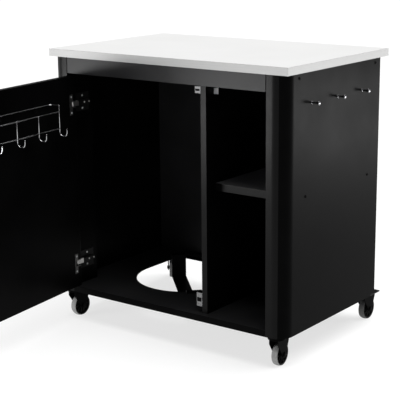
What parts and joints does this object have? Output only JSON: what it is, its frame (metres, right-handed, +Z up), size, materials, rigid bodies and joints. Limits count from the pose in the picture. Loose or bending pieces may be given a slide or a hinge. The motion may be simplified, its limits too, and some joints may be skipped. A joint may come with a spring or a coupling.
{
  "type": "kitchen island cart",
  "caption": "Rolling kitchen island cart: flat worktop on a sheet-metal cabinet with a hinged door, hook rack, shelf, bottle well and swivel casters.",
  "frame": {"origin": "on the ground, under the centre of the worktop, in the middle of the floor rest", "axes": "+X to the right seen from the front, +Y to the back, +Z up; the door and the open side face -Y"},
  "size_m": [0.949, 1.1393, 0.9231],
  "materials": {
    "laminate": "white melamine laminate on board",
    "edging": "smooth white edging",
    "tread": "grey non-marking rubber",
    "wheel_core": "black moulded plastic",
    "fork_black": "black coated pressed steel",
    "chrome": "polished plating",
    "dark_chrome": "dark polished plating",
    "black_oxide": "black oxide on steel",
    "nickel": "nickel-plated pressed steel",
    "zinc": "bright zinc-plated steel",
    "black_steel": "black satin powder coat"
  },
  "bodies": {
    "cabinet": {"worktop": "laminate", "worktop_edging": "edging", "worktop_screws": "zinc", "side_panel_left": "black_steel", "side_panel_right": "black_steel", "apron": "black_steel", "back_panel": "black_steel", "partition": "black_steel", "hinge_post": "black_steel", "front_post": "black_steel", "floor_tray": "black_steel", "base_front_rail": "black_steel", "base_rear_rail": "black_steel", "cradle_strap": "black_steel", "shelf": "black_steel", "shelf_screws": "black_oxide", "side_screws": "black_oxide", "peg_front": "dark_chrome", "peg_middle": "dark_chrome", "peg_rear": "dark_chrome", "peg_nuts": "zinc", "catch_top": "zinc", "catch_bottom": "zinc", "partition_bracket": "zinc", "inner_screws": "zinc", "hinge_plate_bottom": "black_oxide", "hinge_plate_top": "black_oxide", "hinge_arm_bottom": "black_oxide", "hinge_arm_top": "black_oxide", "hinge_link_bottom": "nickel", "hinge_link_top": "nickel", "hinge_pins": "nickel", "caster_heads": "fork_black", "caster_nuts": "zinc"},
    "door": {"door_front": "black_steel", "door_back": "black_steel", "handle": "chrome", "handle_screws": "zinc", "hook_rack": "chrome", "rack_screws": "black_oxide", "hinge_cup_bottom": "nickel", "hinge_cup_top": "nickel", "cup_screws": "zinc", "strike_plates": "zinc"},
    "swivel_front_left": {"fork_front_left": "fork_black", "axle_front_left": "black_oxide"},
    "roller_front_left": {"wheel_front_left": "wheel_core", "tyre_front_left": "tread"},
    "swivel_front_right": {"fork_front_right": "fork_black", "axle_front_right": "black_oxide"},
    "roller_front_right": {"wheel_front_right": "wheel_core", "tyre_front_right": "tread"},
    "swivel_rear_left": {"fork_rear_left": "fork_black", "axle_rear_left": "black_oxide"},
    "roller_rear_left": {"wheel_rear_left": "wheel_core", "tyre_rear_left": "tread"},
    "swivel_rear_right": {"fork_rear_right": "fork_black", "axle_rear_right": "black_oxide"},
    "roller_rear_right": {"wheel_rear_right": "wheel_core", "tyre_rear_right": "tread"}
  },
  "joints": [
    {"name": "door_hinge", "type": "hinge", "parent": "cabinet", "child": "door", "pos_m": [-0.379, -0.2883, 0.475], "axis": [0, 0, 1], "range_deg": [-9.5, 83.06]},
    {"name": "swivel_front_left_turn", "type": "hinge", "parent": "cabinet", "child": "swivel_front_left", "pos_m": [-0.412, -0.2673, 0.095], "axis": [0, 0, 1], "continuous": true},
    {"name": "wheel_front_left_spin", "type": "hinge", "parent": "swivel_front_left", "child": "roller_front_left", "pos_m": [-0.41111, -0.24682, 0.0375], "axis": [0.999, -0.0436, 0], "continuous": true},
    {"name": "swivel_front_right_turn", "type": "hinge", "parent": "cabinet", "child": "swivel_front_right", "pos_m": [0.412, -0.2673, 0.095], "axis": [0, 0, 1], "continuous": true},
    {"name": "wheel_front_right_spin", "type": "hinge", "parent": "swivel_front_right", "child": "roller_front_right", "pos_m": [0.4105, -0.24685, 0.0375], "axis": [0.9973, 0.0732, 0], "continuous": true},
    {"name": "swivel_rear_left_turn", "type": "hinge", "parent": "cabinet", "child": "swivel_rear_left", "pos_m": [-0.412, 0.269, 0.095], "axis": [0, 0, 1], "continuous": true},
    {"name": "wheel_rear_left_spin", "type": "hinge", "parent": "swivel_rear_left", "child": "roller_rear_left", "pos_m": [-0.42434, 0.28537, 0.0375], "axis": [0.7986, 0.6018, 0], "continuous": true},
    {"name": "swivel_rear_right_turn", "type": "hinge", "parent": "cabinet", "child": "swivel_rear_right", "pos_m": [0.412, 0.269, 0.095], "axis": [0, 0, 1], "continuous": true},
    {"name": "wheel_rear_right_spin", "type": "hinge", "parent": "swivel_rear_right", "child": "roller_rear_right", "pos_m": [0.41239, 0.2895, 0.0375], "axis": [0.9998, -0.0192, 0], "continuous": true}
  ]
}
